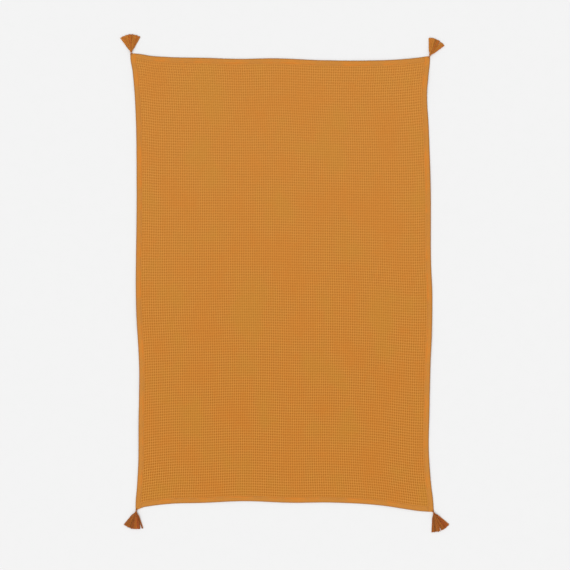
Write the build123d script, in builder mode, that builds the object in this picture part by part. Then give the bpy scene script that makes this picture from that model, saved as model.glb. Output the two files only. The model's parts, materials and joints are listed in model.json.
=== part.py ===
"""A cotton throw, laid flat: waffle-woven cloth in four sewn hems, with a tassel at each corner.

Units are millimetres. +X runs across the throw, +Y along it and +Z up from the surface that it
lies on. The origin is on that surface, in the middle. The cloth folds in half along the line y = 0,
so the near half (y < 0) and the far half (y > 0) are separate bodies. Each tassel hangs from a
thread loop round a knot in its corner: the loop swings round the knot, and the tassel lifts
about the loop's outer run.
"""
from build123d import *
import os
from math import cos, radians, sin

# ---------------------------------------------------------------- driving dimensions
# The cloth
throw_width = 1310.0        # corner to corner across either end
throw_length = 2000.0       # corner to corner along either side
near_drift = 2.5            # how far the near end's middle lies towards +X
far_drift = -14.0           # and the far end's middle
cloth_thickness = 3.0       # waffle weave, ridge to ridge
hem_width = 25.0
hem_thickness = 3.0         # plain border, turned under and sewn down
fold_gap = 0.3              # between the two halves, at the fold line

# Each edge bows inwards between its corners. Along each edge, taken anticlockwise from the
# near left corner, these are (share of the way along, how far the edge is pulled in).
near_pulls = [(0, 0), (0.027, 14), (0.05, 19.5), (0.11, 29), (0.23, 35), (0.35, 43), (0.53, 37),
              (0.65, 39), (0.77, 33), (0.84, 25), (0.9, 13), (0.955, 3), (1, 0)]
right_pulls = [(0, 0), (0.03, 4), (0.05, 9), (0.09, 16), (0.135, 20), (0.22, 16), (0.33, 9),
               (0.4, 2), (0.48, -1), (0.54, 3), (0.7, 2), (0.84, 8), (0.925, 14), (0.965, 6),
               (0.985, 1), (1, 0)]
far_pulls = [(0, 0), (0.012, 1), (0.032, 5), (0.09, 14), (0.15, 19), (0.36, 22), (0.53, 16),
             (0.63, 20), (0.75, 17), (0.87, 15), (0.935, 10), (0.966, 3), (1, 0)]
left_pulls = [(0, 0), (0.015, 1), (0.035, 8), (0.08, 16), (0.125, 20), (0.3, 21), (0.56, 13),
              (0.694, 23), (0.8, 18), (0.91, 13), (0.955, 6), (0.98, 1), (1, 0)]

# The sewing
stitch_inset = 3.0          # from the hem's inner edge to the middle of the row
stitch_width = 1.2
stitch_height = 0.4         # how proud of the hem the thread stands
stitch_end_gap = 24.0       # the side rows stop this far short of the ends

# The corner knots and their loops
knot_inset = 5.0            # from the cloth's corner to the knot's middle, either way
knot_radius = 1.4
knot_cap_radius = 2.6
knot_cap_height = 1.0
loop_thread = 1.6           # diameter
loop_reach = 6.0            # from the knot's middle to the loop's outer run
loop_bend = 1.0             # radius of the loop's two outer corners
running_clearance = 0.15    # loop round knot
seat_clearance = 0.1        # between pieces that are sewn or wound together
lift_clearance = 0.3        # between the hem and what moves over it

# The tassels
eye_clearance = 0.1         # tassel's eye round the loop's outer run
eye_wall = 1.0
eye_width = 2.2
head_start = 1.3            # from the loop's outer run to the head's narrow end
head_start_radius = 1.5
head_length = 3.0
head_radius = 4.0
neck_radius = 3.8
neck_length = 3.2
binding_thread = 1.0        # diameter of the thread wound round the neck
binding_turns = 3
skirt_thickness = 7.0

# Each corner: its end and side, how far it lies from its place in the plain rectangle, the way
# its tassel points (degrees from +X), the half angle that its skirt is fanned out to, and the
# length from the knot to the skirt's rim.
corners = {
    "near_left": dict(end=-1, side=-1, shift=(4.7, 7.4), heading=-100.7, half_angle=31.6,
                      reach=87.4),
    "near_right": dict(end=-1, side=1, shift=(-3.2, 0.8), heading=-66.3, half_angle=28.2,
                       reach=94.0),
    "far_right": dict(end=1, side=1, shift=(-3.7, -10.5), heading=63.7, half_angle=28.5,
                      reach=86.0),
    "far_left": dict(end=1, side=-1, shift=(-1.9, 2.6), heading=93.6, half_angle=33.3,
                     reach=87.5),
}

# ---------------------------------------------------------------- worked out from those
cloth_corner = {}
for corner_name, corner in corners.items():
    end_drift = near_drift if corner["end"] < 0 else far_drift
    shift_across, shift_along = corner["shift"]
    cloth_corner[corner_name] = Vector(end_drift + corner["side"] * throw_width / 2 + shift_across,
                                       corner["end"] * throw_length / 2 + shift_along)
edges = {
    "near": (cloth_corner["near_left"], cloth_corner["near_right"], near_pulls),
    "right": (cloth_corner["near_right"], cloth_corner["far_right"], right_pulls),
    "far": (cloth_corner["far_right"], cloth_corner["far_left"], far_pulls),
    "left": (cloth_corner["far_left"], cloth_corner["near_left"], left_pulls),
}
overrun = 0.05              # share by which a band's inner line runs past the cloth's corners
stitch_row_depth = hem_width - stitch_inset

loop_radius = knot_radius + running_clearance + loop_thread / 2
eye_bore = loop_thread / 2 + eye_clearance
eye_radius = eye_bore + eye_wall
binding_depth = neck_radius + seat_clearance + binding_thread
loop_height = max(hem_thickness + eye_radius, binding_depth) + lift_clearance
cap_base = loop_height + loop_thread / 2 + running_clearance
head_end = head_start + head_length
neck_end = head_end + neck_length
binding_pitch = (neck_length - 2 * seat_clearance) / binding_turns

parts = {}


def keep(name, piece):
    """Name a finished piece, so that it is written as a node of its own."""
    piece.part.label = name
    parts[name] = piece.part


# ---------------------------------------------------------------- plan shapes of the cloth
def edge_points(start, end, pulls, depth=0.0):
    """Points along one edge, or along a line that runs depth inside it."""
    run = end - start
    inward = Vector(-run.Y, run.X).normalized()
    return [start + run * share + inward * (pull + depth) for share, pull in pulls]


def outside_line(edge, depth):
    """The plane on the outer side of the line that runs depth inside an edge."""
    start, end, pulls = edges[edge]
    run = end - start
    outward = Vector(run.Y, -run.X).normalized()
    line = [(-overrun, 0)] + pulls + [(1 + overrun, 0)]
    with BuildSketch() as outside:
        with BuildLine():
            inner = Spline(*edge_points(start, end, line, depth))
            Polyline(inner @ 1, (inner @ 1) + outward * throw_width / 2,
                     (inner @ 0) + outward * throw_width / 2, inner @ 0)
        make_face()
    return outside.sketch


with BuildSketch() as whole_cloth:
    with BuildLine():
        for edge_start, edge_end, edge_pulls in edges.values():
            Spline(*edge_points(edge_start, edge_end, edge_pulls))
    make_face()

hem_band = {edge: outside_line(edge, hem_width) for edge in edges}

half_plan = {}
for half_name, half_sign in (("near", -1), ("far", 1)):
    with BuildSketch(Plane((0, half_sign * (throw_length + fold_gap) / 2, 0))) as half_sketch:
        Rectangle(2 * throw_width, throw_length)
    half_plan[half_name] = half_sketch.sketch


def knot_point(corner_name):
    """The middle of a corner's knot, in plan."""
    corner = corners[corner_name]
    return cloth_corner[corner_name] - Vector(corner["side"], corner["end"]) * knot_inset


# ---------------------------------------------------------------- cloth panels
for half_name in half_plan:
    with BuildPart() as panel:
        with BuildSketch():
            add(whole_cloth.sketch)
            add(half_plan[half_name], mode=Mode.INTERSECT)
            for edge in edges:
                add(hem_band[edge], mode=Mode.SUBTRACT)
        extrude(amount=cloth_thickness)
    keep(f"{half_name}_panel", panel)


# ---------------------------------------------------------------- hems and their stitching
def hem_plan(edge, half_name):
    """One hem's shape in plan: the side hems run the full length, over the end hems' ends."""
    with BuildSketch() as plan:
        add(whole_cloth.sketch)
        add(hem_band[edge], mode=Mode.INTERSECT)
        add(half_plan[half_name], mode=Mode.INTERSECT)
        if edge in ("near", "far"):
            add(hem_band["left"], mode=Mode.SUBTRACT)
            add(hem_band["right"], mode=Mode.SUBTRACT)
    return plan.sketch


hems = {
    "near_hem": ("near", "near"),
    "far_hem": ("far", "far"),
    "left_hem_near": ("left", "near"),
    "left_hem_far": ("left", "far"),
    "right_hem_near": ("right", "near"),
    "right_hem_far": ("right", "far"),
}
for hem_name, (edge, half_name) in hems.items():
    plan = hem_plan(edge, half_name)

    with BuildPart() as hem:
        with BuildSketch():
            add(plan)
            for corner_name in corners:
                with Locations(knot_point(corner_name)):
                    Circle(knot_radius + seat_clearance, mode=Mode.SUBTRACT)
        extrude(amount=hem_thickness)
    keep(hem_name, hem)

    with BuildPart() as stitching:
        with BuildSketch(Plane.XY.offset(hem_thickness)):
            add(plan)
            add(outside_line(edge, stitch_row_depth + stitch_width / 2), mode=Mode.INTERSECT)
            add(outside_line(edge, stitch_row_depth - stitch_width / 2), mode=Mode.SUBTRACT)
            if edge in ("left", "right"):
                Rectangle(2 * throw_width, throw_length - 2 * stitch_end_gap, mode=Mode.INTERSECT)
        extrude(amount=stitch_height)
    keep(f"{hem_name}_stitching", stitching)


# ---------------------------------------------------------------- corners
def corner_knot(post_plane):
    """A thread post through the hem, with a cap that keeps the loop on."""
    with BuildPart() as knot:
        with BuildSketch(post_plane):
            Circle(knot_radius)
        extrude(amount=cap_base)
        with BuildSketch(post_plane.offset(cap_base)):
            Circle(knot_cap_radius)
        extrude(amount=knot_cap_height)
        fillet(knot.edges().group_by(Axis.Z)[-1], radius=knot_cap_height * 0.6)
    return knot


def hanging_loop(post_plane):
    """A ring of thread: a half circle round the knot, two side runs and a straight outer run."""
    with BuildPart() as loop:
        with BuildLine(post_plane.offset(loop_height)) as route:
            FilletPolyline((0, loop_radius), (loop_reach, loop_radius),
                           (loop_reach, -loop_radius), (0, -loop_radius), radius=loop_bend)
            ThreePointArc((0, -loop_radius), (-loop_radius, 0), (0, loop_radius))
        with BuildSketch(Plane(route.wires()[0] @ 0, x_dir=post_plane.z_dir,
                               z_dir=route.wires()[0] % 0)):
            Circle(loop_thread / 2)
        sweep(path=route.wires()[0])
    return loop


def tassel_head(axis_plane):
    """The bunched end of the yarns, with the eye that the loop's outer run passes through."""
    with BuildPart() as head:
        with BuildSketch(axis_plane):
            with BuildLine():
                Line((head_start, 0), (head_start, head_start_radius))
                Spline((head_start, head_start_radius), (head_end, head_radius),
                       tangents=[(1, 1), (1, 0)])
                Polyline((head_end, head_radius), (head_end, 0), (head_start, 0))
            make_face()
        revolve(axis=Axis(axis_plane.origin, axis_plane.x_dir))
        with BuildSketch(axis_plane):
            Circle(eye_radius)
        extrude(amount=eye_width / 2, both=True)
        with BuildSketch(axis_plane):
            Circle(eye_bore)
        extrude(amount=head_radius, both=True, mode=Mode.SUBTRACT)
    return head


def tassel_binding(axis_plane):
    """Thread wound round the neck, its turns side by side."""
    with BuildPart() as binding:
        with BuildSketch(axis_plane):
            with Locations((head_end + neck_length / 2, neck_radius + seat_clearance
                            + binding_thread / 4)):
                Rectangle(neck_length - 2 * seat_clearance, binding_thread / 2)
            with Locations(*[(head_end + seat_clearance + binding_pitch * (turn + 0.5),
                              neck_radius + seat_clearance + binding_thread / 2)
                             for turn in range(binding_turns)]):
                Circle(binding_thread / 2)
        revolve(axis=Axis(axis_plane.origin, axis_plane.x_dir))
    return binding


def tassel_skirt(axis_plane, post_plane, half_angle, reach):
    """The yarns below the neck, fanned out flat on the surface the throw lies on."""
    spread = radians(half_angle)
    apex = loop_reach + neck_end - neck_radius * cos(spread) / sin(spread)
    rim = reach - apex
    with BuildPart() as skirt:
        with BuildSketch(Plane(axis_plane.origin + axis_plane.x_dir * head_end,
                               x_dir=post_plane.z_dir, z_dir=axis_plane.x_dir)):
            Circle(neck_radius)
        extrude(amount=neck_length + neck_radius)
        with BuildSketch(post_plane):
            with BuildLine():
                Polyline((apex + rim * cos(spread), -rim * sin(spread)),
                         (loop_reach + neck_end, -neck_radius),
                         (loop_reach + neck_end, neck_radius),
                         (apex + rim * cos(spread), rim * sin(spread)))
                ThreePointArc((apex + rim * cos(spread), rim * sin(spread)), (reach, 0),
                              (apex + rim * cos(spread), -rim * sin(spread)))
            make_face()
        extrude(amount=skirt_thickness)
    return skirt


for corner_name, corner in corners.items():
    turn = radians(corner["heading"])
    heading = Vector(cos(turn), sin(turn), 0)
    post_plane = Plane(knot_point(corner_name), x_dir=heading, z_dir=(0, 0, 1))
    axis_plane = Plane(post_plane.origin + heading * loop_reach + Vector(0, 0, loop_height),
                       x_dir=heading, z_dir=heading.cross(Vector(0, 0, 1)))
    keep(f"{corner_name}_knot", corner_knot(post_plane))
    keep(f"{corner_name}_loop", hanging_loop(post_plane))
    keep(f"{corner_name}_tassel_head", tassel_head(axis_plane))
    keep(f"{corner_name}_tassel_binding", tassel_binding(axis_plane))
    keep(f"{corner_name}_tassel_skirt",
         tassel_skirt(axis_plane, post_plane, corner["half_angle"], corner["reach"]))

# ---------------------------------------------------------------- write every node
os.makedirs("parts", exist_ok=True)
for name, solid in parts.items():
    export_step(solid, f"parts/{name}.step")
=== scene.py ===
"""The throw's looks: waffle cloth, sewn hems and yarn tassels, round the CAD frame.

Shapes are worked out in millimetres in the row frame (+X across, +Y along, +Z up) and turned
into metres as each mesh is made.
"""
import json
import bpy
import numpy as np
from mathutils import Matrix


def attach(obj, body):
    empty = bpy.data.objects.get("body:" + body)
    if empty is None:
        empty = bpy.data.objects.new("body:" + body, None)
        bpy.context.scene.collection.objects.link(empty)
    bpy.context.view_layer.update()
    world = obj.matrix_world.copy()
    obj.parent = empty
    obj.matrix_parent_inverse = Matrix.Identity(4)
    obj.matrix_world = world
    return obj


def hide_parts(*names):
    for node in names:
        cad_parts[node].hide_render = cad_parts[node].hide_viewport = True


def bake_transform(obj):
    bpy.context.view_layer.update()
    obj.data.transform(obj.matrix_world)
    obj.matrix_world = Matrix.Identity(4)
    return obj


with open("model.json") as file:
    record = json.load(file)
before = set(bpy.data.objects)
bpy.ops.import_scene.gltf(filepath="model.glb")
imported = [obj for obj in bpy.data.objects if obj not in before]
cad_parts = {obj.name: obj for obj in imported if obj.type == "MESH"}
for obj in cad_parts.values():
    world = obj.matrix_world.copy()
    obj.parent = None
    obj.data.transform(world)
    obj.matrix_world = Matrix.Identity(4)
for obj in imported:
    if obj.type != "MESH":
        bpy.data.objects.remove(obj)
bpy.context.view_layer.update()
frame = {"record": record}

MM = 0.001
TURN = 2 * np.pi

# ---------------------------------------------------------------- the throw's own sizes, in mm
THROW_WIDTH = 1310.0
THROW_LENGTH = 2000.0
HEM_WIDTH = 25.0
CLOTH_THICKNESS = 3.0
STITCH_INSET = 3.0          # from the hem's inner edge to its row of stitches
STITCH_END_GAP = 24.0       # the side rows stop this far short of the ends
KNOT_INSET = 5.0            # from the cloth's corner to the knot's middle, either way

# Along each edge: (share of the way along, how far the edge bows in), from near to far on the
# sides and from left to right on the ends.
NEAR_PULLS = [(0, 0), (0.027, 14), (0.05, 19.5), (0.11, 29), (0.23, 35), (0.35, 43), (0.53, 37),
              (0.65, 39), (0.77, 33), (0.84, 25), (0.9, 13), (0.955, 3), (1, 0)]
FAR_PULLS = [(0, 0), (0.034, 3), (0.065, 10), (0.13, 15), (0.25, 17), (0.37, 20), (0.47, 16),
             (0.64, 22), (0.85, 19), (0.91, 14), (0.968, 5), (0.988, 1), (1, 0)]
LEFT_PULLS = [(0, 0), (0.02, 1), (0.045, 6), (0.09, 13), (0.2, 18), (0.306, 23), (0.44, 13),
              (0.7, 21), (0.875, 20), (0.92, 16), (0.965, 8), (0.985, 1), (1, 0)]
RIGHT_PULLS = [(0, 0), (0.03, 4), (0.05, 9), (0.09, 16), (0.135, 20), (0.22, 16), (0.33, 9),
               (0.4, 2), (0.48, -1), (0.54, 3), (0.7, 2), (0.84, 8), (0.925, 14), (0.965, 6),
               (0.985, 1), (1, 0)]

# The waffle weave
CELLS_ACROSS = 129
CELLS_ALONG = 163
CELL_STEPS = 4              # mesh steps to each cell
PIT_DEPTH = 1.7             # on each face
TUCK = 3.0                  # the cloth runs this far into the hems
TUCK_CELLS = 0.2            # and its pattern this far past the outermost cells
CELL_VARIATION = 0.12       # share by which one pit is deeper or shallower than the next
RIM_SHARE = 0.3             # how much of its thickness the cloth keeps where it is tucked in

# The tassels: the half angle that each skirt is fanned to, its length from the knot to the
# rim, how far its yarns flare past a straight-sided fan just below the neck, and its partings
# as (where across the fan, -1 to 1, how wide, and the share of the way down the yarns where it
# opens).
TASSELS = {
    "near_left": dict(half_angle=31.6, reach=87.4, flare=8, yarn_gap_shade=[(0.80, 0.13, 0.35)]),
    "near_right": dict(half_angle=28.2, reach=94.0, flare=8, yarn_gap_shade=[(-0.06, 0.10, 0.55)]),
    "far_right": dict(half_angle=28.5, reach=86.0, flare=5, yarn_gap_shade=[]),
    "far_left": dict(half_angle=33.3, reach=87.5, flare=3, yarn_gap_shade=[]),
}
KNOT_RADIUS = 1.4
CAP_RADIUS = 2.6
LOOP_THREAD = 1.6
LOOP_RADIUS = 2.35
LOOP_BEND = 1.0
EYE_WIDTH = 2.2
EYE_BORE = 0.9
EYE_WALL = 1.0
HEAD_START = 1.3
HEAD_START_RADIUS = 1.5
HEAD_END = 4.3
HEAD_RADIUS = 4.0
NECK_RADIUS = 3.8
NECK_LENGTH = 3.2
BINDING_THREAD = 1.0
BINDING_TURNS = 3
SEAT_CLEARANCE = 0.1        # thread round the neck
RUNNING_CLEARANCE = 0.15    # loop round the knot
STRANDS = 128
LOCK = 7.0                  # yarns that cling together in a lock
YARN_TWIST = 11.0           # mm of yarn to a turn of its two plies
YARN_STEPS = 24             # stations along each yarn
YARN_PITCH = 5.5            # mm between the dark bands of its twist

rng = np.random.default_rng(7)


# ---------------------------------------------------------------- mesh helpers
def smoothstep(low, high, value):
    share = np.clip((value - low) / (high - low), 0, 1)
    return share * share * (3 - 2 * share)


def grid_faces(rows, columns, first=0, close_rows=False, close_columns=False):
    """Quads of a grid of points stored row by row."""
    row = np.arange(rows if close_rows else rows - 1)
    column = np.arange(columns if close_columns else columns - 1)
    r, c = np.meshgrid(row, column, indexing="ij")
    r2, c2 = (r + 1) % rows, (c + 1) % columns
    quads = np.stack([r * columns + c, r * columns + c2, r2 * columns + c2, r2 * columns + c], -1)
    return quads.reshape(-1, 4) + first


class Build:
    """Gathers the points, faces, bake map and pattern coordinates of one mesh."""

    def __init__(self):
        self.points, self.quads, self.caps, self.maps, self.patterns = [], [], [], [], []
        self.count = 0

    def grid(self, points, chart, pattern, close_columns=False, flip=False):
        """Adds a grid: points (rows, columns, 3), chart its bake map (rows, columns, 2) and
        pattern its material coordinates (rows, columns, 3)."""
        rows, columns = points.shape[:2]
        quads = grid_faces(rows, columns, self.count, close_columns=close_columns)
        self.quads.append(quads[:, ::-1] if flip else quads)
        self.points.append(points.reshape(-1, 3))
        self.maps.append(chart.reshape(-1, 2))
        self.patterns.append(pattern.reshape(-1, 3))
        first = self.count
        self.count += rows * columns
        return first

    def tube(self, path, radius, sides, column, columns, strand, lobes=0, twist=0.0,
             capped=True):
        """Adds a tube along path (n, 3). radius is a number or n numbers; lobes and twist (mm
        a turn) shape it as plied yarn. column of columns is its strip of the bake map."""
        path = np.asarray(path, float)
        steps = len(path)
        tangent = np.gradient(path, axis=0)
        tangent /= np.linalg.norm(tangent, axis=1)[:, None]
        length = np.concatenate([[0], np.cumsum(np.linalg.norm(np.diff(path, axis=0), axis=1))])
        normal = np.zeros((steps, 3))
        aside = np.cross(tangent[0], (0, 0, 1.0))
        if np.linalg.norm(aside) < 0.1:
            aside = np.cross(tangent[0], (0, 1.0, 0))
        normal[0] = aside / np.linalg.norm(aside)
        for i in range(1, steps):
            kept = normal[i - 1] - tangent[i] * normal[i - 1].dot(tangent[i])
            normal[i] = kept / np.linalg.norm(kept)
        other = np.cross(tangent, normal)
        angle = np.arange(sides) * TURN / sides
        reach = np.broadcast_to(np.asarray(radius, float), steps)[:, None] * np.ones(sides)
        if lobes:
            phase = TURN * length / twist
            reach = reach * (0.84 + 0.16 * np.cos(lobes * (angle[None] - phase[:, None])))
        ring = (path[:, None] + reach[..., None] * (np.cos(angle)[None, :, None] * normal[:, None]
                                                    + np.sin(angle)[None, :, None] * other[:, None]))
        across = (column + 0.05 + 0.9 * np.arange(sides) / sides) / columns
        along = length / max(length[-1], 1e-9)
        chart = np.stack(np.broadcast_arrays(across[None], 0.02 + 0.96 * along[:, None]), -1)
        pattern = np.stack(np.broadcast_arrays(angle[None] / TURN, length[:, None],
                                               float(strand)), -1)
        first = self.grid(ring, chart, pattern, close_columns=True)
        if capped:
            self.cap(first, steps, sides)

    def cap(self, first, rows, columns, flip=False):
        """Closes both ends of a grid that is round in its columns."""
        last = first + (rows - 1) * columns
        ends = [list(range(first, first + columns))[::-1], list(range(last, last + columns))]
        self.caps += [end[::-1] for end in ends] if flip else ends

    def finish(self, name, material):
        """The finished object, in metres, smooth, with its material."""
        points = np.concatenate(self.points) * MM
        quads = np.concatenate(self.quads).astype(np.int32)
        corners = np.concatenate([quads.ravel()] + [np.array(cap, np.int32) for cap in self.caps])
        sizes = [4] * len(quads) + [len(cap) for cap in self.caps]
        starts = np.concatenate([[0], np.cumsum(sizes)[:-1]])
        mesh = bpy.data.meshes.new(name)
        mesh.vertices.add(len(points))
        mesh.vertices.foreach_set("co", points.astype(np.float32).ravel())
        mesh.loops.add(len(corners))
        mesh.loops.foreach_set("vertex_index", corners)
        mesh.polygons.add(len(starts))
        mesh.polygons.foreach_set("loop_start", np.array(starts, np.int32))
        mesh.polygons.foreach_set("use_smooth", np.ones(len(starts), bool))
        mesh.update(calc_edges=True)
        pattern = mesh.attributes.new("pattern", "FLOAT_VECTOR", "POINT")
        pattern.data.foreach_set("vector", np.concatenate(self.patterns).astype(np.float32).ravel())
        chart = np.concatenate(self.maps)[corners]
        layer = mesh.uv_layers.new(name="OFBake")
        layer.data.foreach_set("uv", chart.astype(np.float32).ravel())
        mesh.materials.append(material)
        piece = bpy.data.objects.new(name, mesh)
        bpy.context.scene.collection.objects.link(piece)
        return piece


# ---------------------------------------------------------------- material helpers
def add_node(tree, kind, inputs=(), **settings):
    made = tree.nodes.new(kind)
    for key, value in settings.items():
        setattr(made, key, value)
    for socket, value in dict(inputs).items():
        if isinstance(value, bpy.types.NodeSocket):
            tree.links.new(value, made.inputs[socket])
        else:
            made.inputs[socket].default_value = value
    return made


class Shade:
    """Short names for the shader nodes that the materials are made of."""

    def __init__(self, name):
        self.material = bpy.data.materials.new(name)
        self.material.use_nodes = True
        self.tree = self.material.node_tree
        self.surface = self.tree.nodes["Principled BSDF"]
        pattern = add_node(self.tree, "ShaderNodeAttribute", attribute_name="pattern")
        self.pattern = pattern.outputs["Vector"]
        parts = add_node(self.tree, "ShaderNodeSeparateXYZ", {0: self.pattern})
        self.x, self.y, self.z = parts.outputs

    def math(self, operation, a, b=0.0, c=0.0):
        made = add_node(self.tree, "ShaderNodeMath", {0: a, 1: b, 2: c}, operation=operation)
        return made.outputs[0]

    def ramp(self, value, low, high, to_low=0.0, to_high=1.0):
        made = add_node(self.tree, "ShaderNodeMapRange",
                        {"Value": value, "From Min": low, "From Max": high, "To Min": to_low,
                         "To Max": to_high}, interpolation_type="SMOOTHSTEP")
        return made.outputs[0]

    def wave(self, value, repeats):
        """1 at whole repeats of value, 0 half way between."""
        turned = self.math("MULTIPLY", value, repeats * TURN)
        return self.math("MULTIPLY_ADD", self.math("COSINE", turned), 0.5, 0.5)

    def vector(self, x, y, z=0.0):
        return add_node(self.tree, "ShaderNodeCombineXYZ", {0: x, 1: y, 2: z}).outputs[0]

    def noise(self, vector, scale, detail=2.0, rough=0.5):
        made = add_node(self.tree, "ShaderNodeTexNoise",
                        {"Vector": vector, "Scale": scale, "Detail": detail, "Roughness": rough})
        return made.outputs["Fac"]

    def white(self, value):
        made = add_node(self.tree, "ShaderNodeTexWhiteNoise", {"W": value}, noise_dimensions="1D")
        return made.outputs["Value"]

    def mix(self, share, a, b, blend="MIX"):
        made = add_node(self.tree, "ShaderNodeMix", data_type="RGBA", blend_type=blend)
        for socket, value in (("Factor_Float", share), ("A_Color", a), ("B_Color", b)):
            target = next(s for s in made.inputs if s.identifier == socket)
            if isinstance(value, bpy.types.NodeSocket):
                self.tree.links.new(value, target)
            else:
                target.default_value = value if socket == "Factor_Float" else (*value, 1.0)
        return next(s for s in made.outputs if s.identifier == "Result_Color")

    def speckled(self, colour, level):
        """The colour, lighter or darker by the level."""
        return self.mix(1.0, colour, self.vector(level, level, level), "MULTIPLY")

    def done(self, colour, height, distance, roughness, sheen):
        """The finished material. distance is the bump's height in mm."""
        bump = add_node(self.tree, "ShaderNodeBump",
                        {"Height": height, "Distance": distance * MM, "Strength": 1.0})
        self.tree.links.new(colour, self.surface.inputs["Base Color"])
        self.tree.links.new(bump.outputs[0], self.surface.inputs["Normal"])
        self.surface.inputs["Roughness"].default_value = roughness
        self.surface.inputs["Specular IOR Level"].default_value = 0.15
        self.surface.inputs["Sheen Weight"].default_value = sheen
        self.surface.inputs["Sheen Roughness"].default_value = 0.6
        self.surface.inputs["Sheen Tint"].default_value = (*SHEEN_TINT, 1.0)
        return self.material


# Colours, linear. The cloth is mustard. The tassels' loose yarn is darker and redder, and more so
# at the near end.
# The waffle's ridge colour is painted light on its ridges, and its pit colour is painted shade in
# its pits.
RIDGE_LIT = (0.77, 0.322, 0.054)
PIT_SHADED = (0.485, 0.152, 0.008)
ORANGE = (0.67, 0.212, 0.020)
# The lighter tone that the cloth shifts towards at the far end.
FAR_END_TONE = (0.74, 0.315, 0.062)
OLIVE = (0.58, 0.262, 0.026)
HEM = (0.640, 0.275, 0.052)
# The hem's darker tone: painted shade between the weave's threads and in the sewing thread's twist
# grooves, and the sewing thread's darker lock tones.
HEM_DARK = (0.47, 0.174, 0.024)
# The hem fold colour is painted shade on the hem's rounded outer edge.
HEM_FOLD_SHADE = (0.31, 0.125, 0.022)
SHEEN_TINT = (1.0, 0.72, 0.36)
YARN_FAR = dict(light=(0.66, 0.252, 0.032), dark=(0.34, 0.098, 0.009), red=(0.50, 0.126, 0.011))
YARN_NEAR = dict(light=(0.50, 0.145, 0.016), dark=(0.20, 0.047, 0.005), red=(0.40, 0.070, 0.010))
THREAD = dict(light=(0.52, 0.160, 0.018), dark=(0.30, 0.070, 0.008), red=(0.42, 0.100, 0.012))


def waffle_material():
    """Waffle weave. The pattern's x and y count cells, with ridges at whole numbers."""
    s = Shade("waffle_weave")
    wander = s.noise(s.pattern, 0.35, 3.0)
    across = s.math("ABSOLUTE", s.math("MULTIPLY_ADD", s.math("FRACT", s.x), 2.0, -1.0))
    along = s.math("ABSOLUTE", s.math("MULTIPLY_ADD", s.math("FRACT", s.y), 2.0, -1.0))
    highest = s.math("MAXIMUM", across, s.math("MULTIPLY", along, 0.9))
    ridge = s.math("MULTIPLY_ADD", s.math("ADD", across, along), 0.26,
                   s.math("MULTIPLY", highest, 0.48))
    upright = s.ramp(s.math("SUBTRACT", across, along), -0.12, 0.12)
    warp = s.wave(s.x, 7)
    weft = s.wave(s.y, 8)
    yarns = s.math("ADD", s.math("MULTIPLY", warp, upright),
                   s.math("MULTIPLY", weft, s.math("SUBTRACT", 1.0, upright)))
    fibre = s.noise(s.vector(s.math("MULTIPLY", s.x, 9.0), s.math("MULTIPLY", s.y, 9.0)), 3.0, 3.0)
    # Painted light and shade: lighter on the ridges, darker down in the pits.
    colour = s.mix(s.ramp(ridge, 0.15, 1.0), PIT_SHADED, RIDGE_LIT)
    colour = s.mix(s.ramp(wander, 0.45, 0.75, 0.0, 0.30), colour, ORANGE)
    broad = s.noise(s.pattern, 0.05, 2.0)
    colour = s.mix(s.ramp(broad, 0.45, 0.7, 0.0, 0.35), colour, ORANGE)
    colour = s.mix(s.ramp(broad, 0.5, 0.3, 0.0, 0.35), colour, OLIVE)
    # Lighter towards the far end.
    colour = s.mix(s.ramp(s.y, 0.0, CELLS_ALONG, 0.0, 0.22), colour, FAR_END_TONE)
    # Painted shade: darker in the gaps between the yarns.
    yarn_gap_shade = s.math("MULTIPLY_ADD", yarns, 0.22, 0.78)
    colour = s.speckled(s.speckled(colour, yarn_gap_shade), s.ramp(fibre, 0.3, 0.7, 0.9, 1.1))
    height = s.math("ADD", yarns, s.math("MULTIPLY", fibre, 0.5))
    return s.done(colour, height, 0.35, 0.95, 0.25)


def hem_material():
    """Plain weave. The pattern's x and y are millimetres along and across the hem."""
    s = Shade("hem_plain_weave")
    warp = s.wave(s.x, 0.8)
    weft = s.wave(s.y, 0.8)
    weave = s.math("MULTIPLY", warp, weft)
    fibre = s.noise(s.pattern, 1.6, 3.0)
    broad = s.noise(s.pattern, 0.012, 2.0)
    # Painted shade: darker between the crossings of the weave's threads.
    colour = s.mix(s.ramp(weave, 0.0, 0.6), HEM_DARK, HEM)
    colour = s.mix(s.ramp(broad, 0.4, 0.7, 0.0, 0.35), colour, ORANGE)
    inner = s.math("MULTIPLY", s.ramp(s.y, 13.0, 19.0), s.ramp(s.y, 25.0, 21.0))
    strip = s.math("MULTIPLY", inner, s.ramp(broad, 0.35, 0.65, 0.0, 0.6))
    colour = s.mix(strip, colour, ORANGE)
    # Painted shade: darker over the last few mm to the outer fold, where the rounded edge turns from
    # the light.
    colour = s.mix(s.ramp(s.y, 6.0, 1.0, 0.0, 0.8), colour, HEM_FOLD_SHADE)
    colour = s.speckled(colour, s.ramp(fibre, 0.3, 0.7, 0.9, 1.1))
    height = s.math("ADD", weave, s.math("MULTIPLY", fibre, 0.4))
    return s.done(colour, height, 0.2, 0.92, 0.25)


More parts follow.
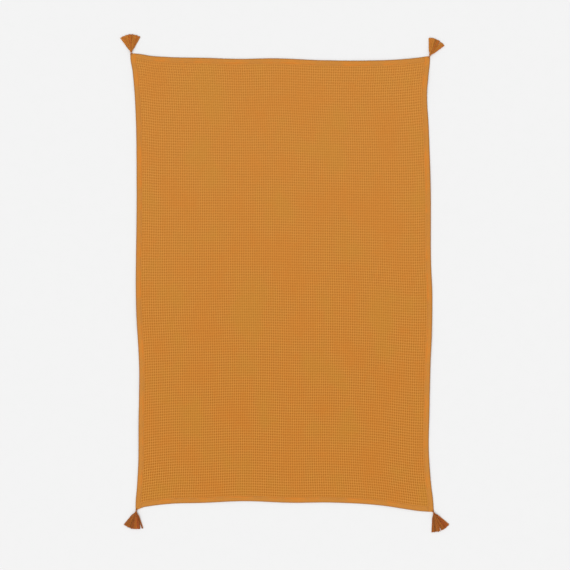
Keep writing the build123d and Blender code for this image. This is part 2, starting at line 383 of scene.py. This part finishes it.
def yarn_material(name, pitch, light, dark, red):
    """Twisted yarn, with tones that change from strand to strand, lock to lock and, widest,
    streak to streak. The pattern is (share round, millimetres along, which strand)."""
    s = Shade(name)
    twist = s.wave(s.math("MULTIPLY_ADD", s.y, 1 / pitch, s.math("MULTIPLY", s.x, 2.0)), 1)
    each = s.white(s.z)
    lock = s.white(s.math("FLOOR", s.math("MULTIPLY", s.z, 1 / LOCK)))
    streak = s.white(s.math("FLOOR", s.math("MULTIPLY", s.z, 0.4 / LOCK)))
    drawn_out = s.vector(s.math("MULTIPLY", s.x, 6.0), s.math("MULTIPLY", s.y, 0.8), s.z)
    fibre = s.noise(drawn_out, 1.0, 3.0)
    shade = s.math("MULTIPLY_ADD", lock, 0.3, s.math("MULTIPLY", streak, 0.5))
    colour = s.mix(s.math("MULTIPLY_ADD", each, 0.1, shade), light, dark)
    reddish = s.math("FRACT", s.math("MULTIPLY", streak, 7.0))
    colour = s.mix(s.ramp(reddish, 0.35, 0.8, 0.0, 0.8), colour, red)
    # Painted shade: darker in the grooves of the twist.
    colour = s.mix(s.ramp(twist, 0.0, 0.5, 0.25, 0.0), colour, dark)
    colour = s.speckled(colour, s.ramp(fibre, 0.3, 0.7, 0.9, 1.1))
    height = s.math("ADD", twist, s.math("MULTIPLY", fibre, 0.6))
    return s.done(colour, height, 0.25, 0.9, 0.3)


# ---------------------------------------------------------------- the cloth's plan
def pull_at(knots, share):
    """How far an edge bows in, on a smooth curve through its knots."""
    where = np.array([k[0] for k in knots], float)
    pulled = np.array([k[1] for k in knots], float)
    slope = np.gradient(pulled, where)
    i = np.clip(np.searchsorted(where, share, side="right") - 1, 0, len(where) - 2)
    span = where[i + 1] - where[i]
    t = (share - where[i]) / span
    return ((2 * t ** 3 - 3 * t ** 2 + 1) * pulled[i] + (t ** 3 - 2 * t ** 2 + t) * span * slope[i]
            + (3 * t ** 2 - 2 * t ** 3) * pulled[i + 1] + (t ** 3 - t ** 2) * span * slope[i + 1])


def corner_frame(corner):
    """A corner's knot, its loop's outer run, the way its tassel points and the way aside, in mm."""
    joints = {joint["name"]: joint for joint in frame["record"]["behaviour"]["joints"]}
    knot = np.array(joints[f"{corner}_swing"]["pos_m"]) / MM
    run = np.array(joints[f"{corner}_lift"]["pos_m"]) / MM
    heading = (run - knot) / np.linalg.norm(run - knot)
    aside = np.cross((0, 0, 1.0), heading)
    return knot, run, heading, aside


def cloth_corner(corner):
    """Where a corner of the cloth lies in plan, just outside its knot."""
    knot = corner_frame(corner)[0][:2]
    return knot + np.sign(knot) * KNOT_INSET


CLOTH_CORNERS = {corner: cloth_corner(corner) for corner in TASSELS}


def cloth_plan(across, along):
    """Where a point of the cloth lies. across and along run from 0 to 1, edge to edge."""
    def between(start, end, axis, share):
        return CLOTH_CORNERS[start][axis] * (1 - share) + CLOTH_CORNERS[end][axis] * share

    left = between("near_left", "far_left", 0, along) + pull_at(LEFT_PULLS, along)
    right = between("near_right", "far_right", 0, along) - pull_at(RIGHT_PULLS, along)
    near = between("near_left", "near_right", 1, across) + pull_at(NEAR_PULLS, across)
    far = between("far_left", "far_right", 1, across) - pull_at(FAR_PULLS, across)
    return left * (1 - across) + right * across, near * (1 - along) + far * along


# Here and there the cloth has a little slack. A coarse sheet of it is let down on the floor by
# cloth simulation, and only the heights that it settles at are kept.
SETTLE_ACROSS, SETTLE_ALONG = 61, 93
SETTLE_FRAMES = 30
SLACK = 0.012               # the most by which a patch of cloth is larger than its place
LOWEST_START, DROP = 3.0, 9.0   # mm above the floor that the sheet starts between
FLOOR_REACH = 2000.0        # mm either way
MOST_LIFT = 6.5             # folded halves meet above this height
CORNER_EASE = (25, 140)     # mm from a corner of the cloth: flat up to the first, free past the last

# One soft crease, as points of its run, in mm
CREASE_HEIGHT, CREASE_WIDTH = 2.4, 6.5
CREASE = np.array([(424.0, 104.0), (417.0, 62.0), (404.0, 14.0), (380.0, -12.0), (352.0, -26.0)])


def settling_object(name, points, quads):
    """A bare mesh object for the simulation, from points in mm."""
    mesh = bpy.data.meshes.new(name)
    mesh.from_pydata((points * MM).tolist(), [], quads.tolist())
    thing = bpy.data.objects.new(name, mesh)
    bpy.context.scene.collection.objects.link(thing)
    return thing


def waves(x, y, seed, count, shortest, longest):
    """Seeded long waves over the plan, from 0 to 1."""
    draws = np.random.default_rng(seed)
    total = np.zeros(np.shape(x))
    for _ in range(count):
        turn, length, phase = draws.uniform((0, shortest, 0), (TURN, longest, TURN))
        total += np.sin((x * np.cos(turn) + y * np.sin(turn)) * TURN / length + phase)
    return (total - total.min()) / (total.max() - total.min())


def settled_heights():
    """Heights in mm, rows along the throw by columns across it, of the settled coarse sheet."""
    shape = (SETTLE_ALONG, SETTLE_ACROSS)
    across, along = np.meshgrid(np.linspace(0, 1, SETTLE_ACROSS), np.linspace(0, 1, SETTLE_ALONG))
    x, y = cloth_plan(across, along)
    start = LOWEST_START + (DROP - LOWEST_START) * waves(x, y, 31, 60, 140, 520)
    points = np.stack([x, y, start], -1).reshape(-1, 3)
    sheet = settling_object("settling_sheet", points, grid_faces(SETTLE_ALONG, SETTLE_ACROSS))
    slack = sheet.vertex_groups.new(name="slack")
    patches = smoothstep(0.42, 0.72, waves(x, y, 5, 40, 180, 600))
    for i, weight in enumerate(patches.ravel()):
        slack.add([i], float(weight), "REPLACE")
    held = sheet.vertex_groups.new(name="held")
    last = len(points) - 1
    corners = [0, SETTLE_ACROSS - 1, last - SETTLE_ACROSS + 1, last]
    held.add(corners, 1.0, "REPLACE")
    for i in corners:
        sheet.data.vertices[i].co.z = LOWEST_START * MM
    ground = np.array([(x_way, y_way, 0) for y_way in (-1, 1) for x_way in (-1, 1)]) * FLOOR_REACH
    floor = settling_object("settling_floor", ground, grid_faces(2, 2))
    floor.modifiers.new("Collision", "COLLISION")
    floor.collision.thickness_outer = 0.001
    floor.collision.cloth_friction = 40.0
    cloth = sheet.modifiers.new("Cloth", "CLOTH")
    for setting, value in (("quality", 6), ("mass", 0.02), ("tension_stiffness", 40.0),
                           ("compression_stiffness", 40.0), ("shear_stiffness", 10.0),
                           ("bending_stiffness", 20.0), ("air_damping", 2.0),
                           ("shrink_max", -SLACK), ("vertex_group_shrink", slack.name),
                           ("vertex_group_mass", held.name)):
        setattr(cloth.settings, setting, value)
    cloth.collision_settings.distance_min = 0.002
    cloth.collision_settings.use_self_collision = False
    scene = bpy.context.scene
    for step in range(1, SETTLE_FRAMES + 1):
        scene.frame_set(step)
    settled = sheet.evaluated_get(bpy.context.evaluated_depsgraph_get())
    place = np.empty(len(points) * 3, np.float32)
    settled.data.vertices.foreach_get("co", place)
    for thing in (sheet, floor):
        mesh = thing.data
        bpy.data.objects.remove(thing)
        bpy.data.meshes.remove(mesh)
    scene.frame_set(1)
    height = place.reshape(-1, 3)[:, 2].reshape(shape) / MM
    return height - np.percentile(height, 2)


def softened(height, passes):
    """Each height averaged with its neighbours."""
    for _ in range(passes):
        padded = np.pad(height, 1, mode="edge")
        height = (padded[1:-1, 1:-1] * 4 + padded[:-2, 1:-1] + padded[2:, 1:-1]
                  + padded[1:-1, :-2] + padded[1:-1, 2:]) / 8
    return height


SETTLED = softened(settled_heights(), 4)


def cubic_shares(t):
    """How much each of four stations in a row counts for a point between the middle two."""
    return ((1 - t) ** 3 / 6, (3 * t ** 3 - 6 * t ** 2 + 4) / 6,
            (-3 * t ** 3 + 3 * t ** 2 + 3 * t + 1) / 6, t ** 3 / 6)


def settled_at(across, along):
    """The settled height at shares across and along, on a smooth surface through the sheet."""
    across, along = np.broadcast_arrays(np.clip(across, 0, 1), np.clip(along, 0, 1))
    column = across * (SETTLE_ACROSS - 1)
    row = along * (SETTLE_ALONG - 1)
    first_column = np.minimum(np.floor(column).astype(int), SETTLE_ACROSS - 2)
    first_row = np.minimum(np.floor(row).astype(int), SETTLE_ALONG - 2)
    height = 0
    for i, row_share in enumerate(cubic_shares(row - first_row)):
        for j, column_share in enumerate(cubic_shares(column - first_column)):
            r = np.clip(first_row + i - 1, 0, SETTLE_ALONG - 1)
            c = np.clip(first_column + j - 1, 0, SETTLE_ACROSS - 1)
            height = height + row_share * column_share * SETTLED[r, c]
    return height


def cloth_lift(across, along):
    """How high the cloth stands off the floor, in mm: settled slack, and one soft crease."""
    x, y = cloth_plan(across, along)
    height = settled_at(across, along)
    nearest = np.full(np.shape(x), 1e9)
    for start, end in zip(CREASE[:-1], CREASE[1:]):
        run = end - start
        share = np.clip(((x - start[0]) * run[0] + (y - start[1]) * run[1]) / run.dot(run), 0, 1)
        gap = np.hypot(x - start[0] - share * run[0], y - start[1] - share * run[1])
        nearest = np.minimum(nearest, gap)
    height = height + CREASE_HEIGHT * np.exp(-(nearest / CREASE_WIDTH) ** 2)
    from_corner = np.hypot(np.minimum(across, 1 - across) * THROW_WIDTH,
                           np.minimum(along, 1 - along) * THROW_LENGTH)
    return np.clip(height, 0, MOST_LIFT) * smoothstep(*CORNER_EASE, from_corner)


HEM_SHARE_ACROSS = HEM_WIDTH / THROW_WIDTH
HEM_SHARE_ALONG = HEM_WIDTH / THROW_LENGTH


def waffle_cloth(material):
    """One closed sheet: ridges and pits on both faces, the far face's half a cell over."""
    def stations(cells, hem_share, whole):
        inside = np.linspace(hem_share, 1 - hem_share, cells * CELL_STEPS + 1)
        tuck = TUCK / whole
        shares = np.concatenate([[inside[0] - tuck], inside, [inside[-1] + tuck]])
        count = np.linspace(0, cells, cells * CELL_STEPS + 1)
        return shares, np.concatenate([[-TUCK_CELLS], count, [cells + TUCK_CELLS]])

    across, cell_x = stations(CELLS_ACROSS, HEM_SHARE_ACROSS, THROW_WIDTH)
    along, cell_y = stations(CELLS_ALONG, HEM_SHARE_ALONG, THROW_LENGTH)
    x, y = cloth_plan(across[None, :], along[:, None])
    cx, cy = np.meshgrid(cell_x, cell_y)
    lift = cloth_lift(across[None, :], along[:, None])
    edge = np.minimum(np.minimum(cx, CELLS_ACROSS - cx), np.minimum(cy, CELLS_ALONG - cy))
    full = smoothstep(-TUCK_CELLS, 1.0, edge)
    wobble = 0.25 * np.sin(cx * 2.1 + np.sin(cy * 0.7)) + 0.2 * np.sin(cy * 1.7 + cx * 0.33)
    x = x + 0.5 * wobble * full
    y = y + 0.4 * np.sin(cy * 1.3 + cx * 1.9) * full
    each = rng.uniform(-CELL_VARIATION, CELL_VARIATION, (CELLS_ALONG + 3, CELLS_ACROSS + 3))
    each = each[np.floor(cy + 1).astype(int), np.floor(cx + 1).astype(int)]
    middle = CLOTH_THICKNESS / 2

    build = Build()
    faces = []
    for shift, base, way in ((0.0, CLOTH_THICKNESS, -1), (0.5, 0.0, 1)):
        fx, fy = np.abs(2 * ((cx + shift) % 1) - 1), np.abs(2 * ((cy + shift) % 1) - 1)
        depth = PIT_DEPTH * (1 - np.maximum(fx, fy)) ** 0.9 * (1 + each)
        z = (base + way * depth - middle) * (RIM_SHARE + (1 - RIM_SHARE) * full) + middle + lift
        points = np.stack([x, y, z], -1)
        pattern = np.stack([cx + shift, cy + shift, np.zeros_like(cx)], -1)
        u = (cx + TUCK_CELLS) / (CELLS_ACROSS + 2 * TUCK_CELLS) * 0.49 + 0.0025 + 1.01 * shift
        v = (cy + TUCK_CELLS) / (CELLS_ALONG + 2 * TUCK_CELLS) * 0.99 + 0.005
        faces.append(build.grid(points, np.stack([u, v], -1), pattern, flip=shift != 0))
    rows, columns = x.shape
    rim = np.concatenate([np.arange(columns), np.arange(1, rows) * columns + columns - 1,
                          (rows - 1) * columns + np.arange(columns - 2, -1, -1),
                          np.arange(rows - 2, 0, -1) * columns])
    after = np.roll(rim, -1)
    build.quads.append(np.stack([rim + faces[1], after + faces[1], after, rim], -1))
    return build.finish("waffle_cloth", material)


# ---------------------------------------------------------------- hems and stitches
# A hem's section: (share of its width from the outer fold, height), round from the inner
# edge over the top to the outer fold and back underneath.
HEM_SECTION = [(1.00, 1.9), (0.97, 2.35), (0.93, 2.5), (0.89, 2.2), (0.86, 2.15), (0.82, 2.5),
               (0.74, 2.8), (0.60, 2.9), (0.40, 2.85), (0.20, 2.9), (0.10, 2.85), (0.04, 2.5),
               (0.012, 2.0), (0.0, 1.4), (0.012, 0.75), (0.05, 0.3), (0.15, 0.1), (0.5, 0.05),
               (0.86, 0.12), (0.97, 0.2), (1.00, 0.7)]
HEM_MIDDLE = 1.45           # height of the section's middle
HEM_STEP = 2.5              # mm between sections
STITCH_LENGTH = 3.4
STITCH_PITCH = 4.2
STITCHES_TO_A_ROW = 40      # of the bake map


def hem_place(edge, share, depth):
    """Where a point on a hem lies, and how high the cloth is there: share is how far along the
    hem it is, and depth how far in from the outer fold."""
    if edge == "left":
        spot = depth / THROW_WIDTH, share
    elif edge == "right":
        spot = 1 - depth / THROW_WIDTH, share
    elif edge == "near":
        spot = share, depth / THROW_LENGTH
    else:
        spot = share, 1 - depth / THROW_LENGTH
    return *cloth_plan(*spot), cloth_lift(*spot)


def hem_span(edge):
    """The shares that a hem starts and ends at, and its length."""
    if edge in ("left", "right"):
        return 0.0, 1.0, THROW_LENGTH
    return HEM_SHARE_ACROSS, 1 - HEM_SHARE_ACROSS, THROW_WIDTH


def hem_cloth(edge, material):
    """A hem: its section swept along the edge, puckered at the stitches. A side hem is thinner
    at its ends, and dips where the end hem's edge lies under it."""
    start, end, whole = hem_span(edge)
    steps = int((end - start) * whole / HEM_STEP)
    share = np.linspace(start, end, steps + 1)[:, None]
    if edge in ("left", "right"):
        ends = np.array([0.0, 0.0006, 0.0016])[:, None]
        share = np.concatenate([ends, share[3:-3], 1 - ends[::-1]])
    depth = np.array([s[0] for s in HEM_SECTION])[None, :] * HEM_WIDTH
    height = np.array([s[1] for s in HEM_SECTION])[None, :]
    x, y, lift = hem_place(edge, share, depth)
    mm_along = share * whole
    pucker = 0.14 * np.sin(mm_along * TURN / STITCH_PITCH) * np.exp(-((depth - 22) / 4) ** 2)
    soft = 0.22 * np.sin(mm_along / 17 + depth / 9) + 0.15 * np.sin(mm_along / 7.3 - depth / 5)
    top = smoothstep(1.0, 2.4, height)
    bulge = np.ones_like(share)
    if edge in ("left", "right"):
        from_end = np.minimum(share, 1 - share) * whole
        bulge = 0.35 + 0.65 * np.sqrt(np.clip(from_end / 3.0, 0, 1))
        tuck = np.exp(-((from_end - 0.9 * depth) / 1.6) ** 2) * smoothstep(30, 22, from_end)
        soft = soft - 0.8 * tuck
    z = (height - HEM_MIDDLE) * bulge + HEM_MIDDLE + (pucker + soft) * top
    z = np.clip(z, 0.02, None) + lift
    chart_v = (np.broadcast_to(share, x.shape) - start) / (end - start)
    chart_u = np.linspace(0.02, 0.98, len(HEM_SECTION))[None, :]
    chart = np.stack(np.broadcast_arrays(chart_u, 0.01 + 0.98 * chart_v), -1)
    pattern = np.stack(np.broadcast_arrays(mm_along, depth, height * 0.3), -1)
    turned = edge in ("right", "near")
    build = Build()
    first = build.grid(np.stack([x, y, z], -1), chart, pattern, close_columns=True, flip=turned)
    build.cap(first, len(share), len(HEM_SECTION), flip=turned)
    return build.finish(f"{edge}_hem_cloth", material)


def hem_stitches(edge, material):
    """A row of lock stitches, each one a short proud bead of thread."""
    start, end, whole = hem_span(edge)
    margin = (STITCH_END_GAP if edge in ("left", "right") else 2.0) / whole
    count = int((end - start - 2 * margin) * whole / STITCH_PITCH)
    build = Build()
    bead = np.linspace(-0.5, 0.5, 6)
    for i in range(count):
        middle = start + margin + (i + 0.5) * STITCH_PITCH / whole
        share = middle + bead * STITCH_LENGTH / whole
        depth = HEM_WIDTH - STITCH_INSET + bead * 0.35
        x, y, lift = hem_place(edge, share, depth)
        z = 2.35 + 0.45 * np.cos(bead * np.pi * 0.95) + lift
        radius = 0.24 + 0.22 * np.cos(bead * np.pi) ** 0.5
        build.tube(np.stack([x, y, z], -1), radius, 6, i % STITCHES_TO_A_ROW, STITCHES_TO_A_ROW, i)
    chart = np.concatenate(build.maps)
    rows = int(np.ceil(count / STITCHES_TO_A_ROW))
    row = np.repeat(np.arange(count) // STITCHES_TO_A_ROW, len(bead) * 6)
    chart[:, 1] = (row + chart[:, 1]) / rows
    build.maps = [chart]
    return build.finish(f"{edge}_hem_stitches", material)


# ---------------------------------------------------------------- tassels
def placed(origin, heading, aside, local):
    """Local (along, aside, up) to the row frame."""
    local = np.asarray(local, float)
    up = np.array([0, 0, 1.0])
    return origin + local[..., :1] * heading + local[..., 1:2] * aside + local[..., 2:3] * up


def knot_piece(corner, material):
    """The post of thread through the hem, with thread coiled in a button over it."""
    knot, _, heading, aside = corner_frame(corner)
    base = knot * (1, 1, 0)
    top = knot[2] + LOOP_THREAD / 2 + RUNNING_CLEARANCE
    build = Build()
    post = [(0, 0, h) for h in np.linspace(0.05, top + 0.3, 12)]
    build.tube(placed(base, heading, aside, post), KNOT_RADIUS - 0.05, 16, 0, 3, 1, lobes=6,
               twist=9.0)
    turn = np.linspace(0, 3.2 * TURN, 110)
    out = 0.12 + (CAP_RADIUS - 0.45) * turn / turn[-1]
    dome = top + 0.42 + 0.55 * (1 - (out / CAP_RADIUS) ** 2)
    coil = np.stack([out * np.cos(turn), out * np.sin(turn), dome], -1)
    build.tube(placed(base, heading, aside, coil), 0.42, 8, 1, 3, 2)
    under = [(0, 0, top + 0.02), (0, 0, top + 0.5)]
    build.tube(placed(base, heading, aside, under), CAP_RADIUS - 0.5, 20, 2, 3, 3)
    return build.finish(f"{corner}_knot_thread", material)


def loop_piece(corner, material):
    """The loop: a half circle round the knot, two side runs and a straight outer run."""
    knot, run, heading, aside = corner_frame(corner)
    reach = np.linalg.norm(run - knot)
    half = np.linspace(-np.pi / 2, -3 * np.pi / 2, 17)
    quarter = np.linspace(np.pi / 2, 0, 7)
    side = np.linspace(0, reach - LOOP_BEND, 9)[1:-1]
    outer = np.linspace(LOOP_RADIUS - LOOP_BEND, LOOP_BEND - LOOP_RADIUS, 6)[1:-1]
    path = [(LOOP_RADIUS * np.cos(a), LOOP_RADIUS * np.sin(a)) for a in half]
    path += [(s, LOOP_RADIUS) for s in side]
    path += [(reach - LOOP_BEND * (1 - np.cos(a)), LOOP_RADIUS - LOOP_BEND * (1 - np.sin(a)))
             for a in quarter]
    path += [(reach, w) for w in outer]
    path += [(reach - LOOP_BEND * (1 - np.cos(a)), -LOOP_RADIUS + LOOP_BEND * (1 - np.sin(a)))
             for a in quarter[::-1]]
    path += [(s, -LOOP_RADIUS) for s in side[::-1]]
    path = np.array([(u, w, 0.0) for u, w in path])
    closed = np.concatenate([path, path[:1]])
    length = np.concatenate([[0], np.cumsum(np.linalg.norm(np.diff(closed, axis=0), axis=1))])
    even = np.linspace(0, length[-1], 121)
    closed = np.stack([np.interp(even, length, closed[:, k]) for k in range(3)], -1)
    build = Build()
    build.tube(placed(knot, heading, aside, closed), LOOP_THREAD / 2, 12, 0, 1, 1, lobes=2,
               twist=length[-1] / 6, capped=False)
    return build.finish(f"{corner}_loop_thread", material)


def head_piece(corner, material):
    """The yarns bunched over the loop: an eye of three turns, and a ribbed teardrop."""
    _, run, heading, aside = corner_frame(corner)
    build = Build()
    along = np.linspace(0, 1, 15)
    profile = HEAD_START_RADIUS + (HEAD_RADIUS - HEAD_START_RADIUS) * np.sin(along * np.pi / 2)
    profile[-1] = HEAD_RADIUS * 0.93
    round_it = np.arange(72) * TURN / 72
    ribs = 1 - 0.07 * np.abs(np.sin(9 * round_it[None] + 0.8 * along[:, None]))
    reach = profile[:, None] * ribs
    u = np.broadcast_to(HEAD_START + (HEAD_END - HEAD_START) * along[:, None], reach.shape)
    local = np.stack([u, reach * np.cos(round_it), reach * np.sin(round_it)], -1)
    chart = np.stack(np.broadcast_arrays(0.01 + 0.47 * round_it[None] / TURN,
                                         0.02 + 0.96 * along[:, None]), -1)
    pattern = np.stack(np.broadcast_arrays(9 * round_it[None] / TURN, 5 * along[:, None],
                                           np.floor(18 * round_it[None] / TURN)), -1)
    first = build.grid(placed(run, heading, aside, local), chart, pattern, close_columns=True)
    build.cap(first, len(along), len(round_it))
    turn = np.linspace(0, TURN, 33)
    thread = EYE_WALL / 2 * 0.86
    for i, offset in enumerate((-0.68, 0.0, 0.68)):
        middle = EYE_BORE + 0.07 + thread
        ring = np.stack([middle * np.cos(turn), np.full_like(turn, offset),
                         middle * np.sin(turn)], -1)
        build.tube(placed(run, heading, aside, ring), thread, 10, i + 3, 6, 20 + i, capped=False)
    return build.finish(f"{corner}_head_yarn", material)


def binding_piece(corner, material):
    """Thread wound round the neck, each end tucked in."""
    _, run, heading, aside = corner_frame(corner)
    thread = BINDING_THREAD / 2
    turn = np.linspace(0, (BINDING_TURNS + 0.6) * TURN, 160)
    share = turn / turn[-1]
    tucked = 0.6 * (1 - smoothstep(0, 0.06, share) * smoothstep(1, 0.94, share))
    reach = NECK_RADIUS + SEAT_CLEARANCE + thread - tucked
    start = HEAD_END + 0.15 + thread
    u = start + (NECK_LENGTH - 0.3 - 2 * thread) * share
    coil = np.stack([u, reach * np.cos(turn), reach * np.sin(turn)], -1)
    build = Build()
    build.tube(placed(run, heading, aside, coil), thread, 8, 0, 2, 1)
    under = [(HEAD_END + 0.2, 0, 0), (HEAD_END + NECK_LENGTH - 0.2, 0, 0)]
    build.tube(placed(run, heading, aside, under), NECK_RADIUS + 0.2, 24, 1, 2, 2)
    return build.finish(f"{corner}_binding_thread", material)


def skirt_piece(corner, material):
    """The loose yarns: bunched in the neck, then fanned out flat and cut along the rim. u runs
    along the tassel from the knot, w aside and z up."""
    facts = TASSELS[corner]
    knot, run, heading, aside = corner_frame(corner)
    spread = np.radians(facts["half_angle"])
    reach = np.linalg.norm(run - knot)
    neck_start, neck_end = reach + HEAD_END - 1.5, reach + HEAD_END + NECK_LENGTH
    apex = neck_end - NECK_RADIUS / np.tan(spread)
    build = Build()
    base = knot * (1, 1, 0)
    first_strand = 1000 * list(TASSELS).index(corner)
    in_order = np.arange(STRANDS)
    lock = np.floor(in_order / LOCK)
    locks = rng.normal(0, 1, (STRANDS, 3))[lock.astype(int)]
    place = 2 * (in_order * 0.88 + (lock + 0.5) * LOCK * 0.12) / (STRANDS - 1) - 1
    for i in range(STRANDS):
        layer = rng.uniform(0, 1)
        cut = 1 + rng.normal(-0.012, 0.010) + 0.008 * min(locks[i, 0], 1)
        rim = (facts["reach"] - apex) * cut
        wave = rng.normal(0, 0.5) + 0.9 * locks[i, 1]
        phase = rng.normal(0, 0.6) + 2 * locks[i, 2]
        own = np.clip(place[i] + rng.normal(0, 0.012), -1, 1)
        u = np.linspace(neck_start, apex + rim * np.cos(spread * own), YARN_STEPS)
        past = np.clip((u - neck_end) / (facts["reach"] - neck_end), 0, 1)
        parted = np.full_like(past, own)
        for middle, wide, opens in facts["yarn_gap_shade"]:
            push = wide / 2 * np.exp(-((own - middle) / 0.2) ** 2) * smoothstep(opens, 1.0, past)
            parted = parted + np.sign(own - middle) * push
        angle = spread * np.clip(parted, -1, 1)
        flare = facts["flare"] * (1 - past) * smoothstep(0.0, 0.22, past)
        w = np.where(u > neck_end, (u - apex + flare) * np.tan(angle),
                     NECK_RADIUS * 0.88 * np.tan(angle) / np.tan(spread))
        w = w + wave * np.sin(past * 5 + phase) * past * (1 - 0.3 * past) * (1 - own ** 4)
        inside = np.sqrt(max(0.0, 1 - (w[0] / NECK_RADIUS) ** 2))
        bunched = run[2] + (2 * layer - 1) * NECK_RADIUS * 0.86 * inside
        lying = 0.9 + layer * (5.2 - 3.0 * past) * (1 - 0.35 * (angle / spread) ** 2)
        z = bunched + (lying - bunched) * smoothstep(0.0, 0.35, past)
        z = z + 0.25 * np.sin(past * 7 + phase * 2) * past
        radius = 0.46 + 0.68 * past ** 0.7
        z = np.maximum(z, radius + 0.02)
        path = placed(base, heading, aside, np.stack([u, w, z], -1))
        build.tube(path, radius, 7, i, STRANDS, first_strand + i, lobes=2,
                   twist=YARN_TWIST)
    return build.finish(f"{corner}_skirt_yarn", material)


# ---------------------------------------------------------------- put it all together
def pieces_of_the_throw():
    """Makes every piece, and says which body it moves with and which nodes it replaces."""
    waffle, plain = waffle_material(), hem_material()
    sewing = yarn_material("sewing_thread", 1.2, light=HEM, dark=HEM_DARK, red=ORANGE)
    thread = yarn_material("binding_thread", 2.0, **THREAD)
    yarns = {"near": yarn_material("tassel_yarn_near", YARN_PITCH, **YARN_NEAR),
             "far": yarn_material("tassel_yarn_far", YARN_PITCH, **YARN_FAR)}

    cloth = waffle_cloth(waffle)
    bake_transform(cloth)
    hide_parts("near_panel", "far_panel")
    for edge in ("near", "far", "left", "right"):
        hem, stitches = hem_cloth(edge, plain), hem_stitches(edge, sewing)
        for piece, tail, slot in ((hem, "", "hem_cloth"),
                                  (stitches, "_stitching", "sewing_thread")):
            if edge in ("near", "far"):
                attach(piece, f"{edge}_half")
                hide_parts(f"{edge}_hem{tail}")
            else:
                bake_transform(piece)
                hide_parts(f"{edge}_hem_near{tail}", f"{edge}_hem_far{tail}")
    for corner in TASSELS:
        end = corner.split("_")[0]
        half, yarn = f"{end}_half", yarns[end]
        for make, material, body, node, slot in (
                (knot_piece, thread, half, "knot", "binding_thread"),
                (loop_piece, thread, f"{corner}_loop", "loop", "loop_thread"),
                (head_piece, yarn, f"{corner}_tassel", "tassel_head", "tassel_yarn"),
                (binding_piece, thread, f"{corner}_tassel", "tassel_binding", "binding_thread"),
                (skirt_piece, yarn, f"{corner}_tassel", "tassel_skirt", "tassel_yarn")):
            piece = make(corner, material)
            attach(piece, body)
            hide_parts(f"{corner}_{node}")


# ---------------------------------------------------------------- floor, light and camera
FLOOR_GREY = 0.80
FLOOR_SIDE = 15000.0        # mm either way
FLOOR_DEPTH = 0.4           # mm below the throw
SKY = 0.86
SUN = 1.0
LENS = 85.0
FIELD = 2.488               # metres across the picture, at the cloth
CENTRE = (0.0044, -0.0087)


def stage():
    """The pale floor, the soft light and the camera."""
    build = Build()
    chart = np.array([[(0, 0), (1, 0)], [(0, 1), (1, 1)]], float)
    low = np.full((2, 2, 1), -FLOOR_DEPTH)
    corners = np.concatenate([(2 * chart - 1) * FLOOR_SIDE, low], -1)
    s = Shade("pale_floor")
    grain = s.noise(s.pattern, 0.02, 2.0)
    level = s.ramp(grain, 0.3, 0.7, FLOOR_GREY - 0.002, FLOOR_GREY + 0.002)
    material = s.done(s.vector(level, level, level), grain, 0.01, 1.0, 0.0)
    s.surface.inputs["Specular IOR Level"].default_value = 0.0
    build.grid(corners, chart, corners)
    build.finish("floor", material)

    world = bpy.data.worlds.new("soft_sky")
    world.use_nodes = True
    background = world.node_tree.nodes["Background"]
    background.inputs["Color"].default_value = (1.0, 1.0, 1.0, 1.0)
    background.inputs["Strength"].default_value = SKY
    bpy.context.scene.world = world

    sun = bpy.data.lights.new("soft_sun", "SUN")
    sun.energy = SUN
    sun.angle = 0.9
    lamp = bpy.data.objects.new("soft_sun", sun)
    lamp.rotation_euler = (0.35, -0.45, 0.0)
    bpy.context.scene.collection.objects.link(lamp)

    camera = bpy.data.cameras.new("camera")
    camera.lens = LENS
    camera.sensor_width = 36.0
    above = FIELD / 2 / (camera.sensor_width / 2 / LENS)
    holder = bpy.data.objects.new("camera", camera)
    holder.location = (*CENTRE, above)
    camera.clip_end = 100.0
    bpy.context.scene.collection.objects.link(holder)
    bpy.context.scene.camera = holder
    bpy.context.scene.view_settings.view_transform = "Standard"
    # The denoiser's prefilter would smooth the weave's upright lines away.
    bpy.context.scene.cycles.denoising_prefilter = "NONE"


stage()
pieces_of_the_throw()
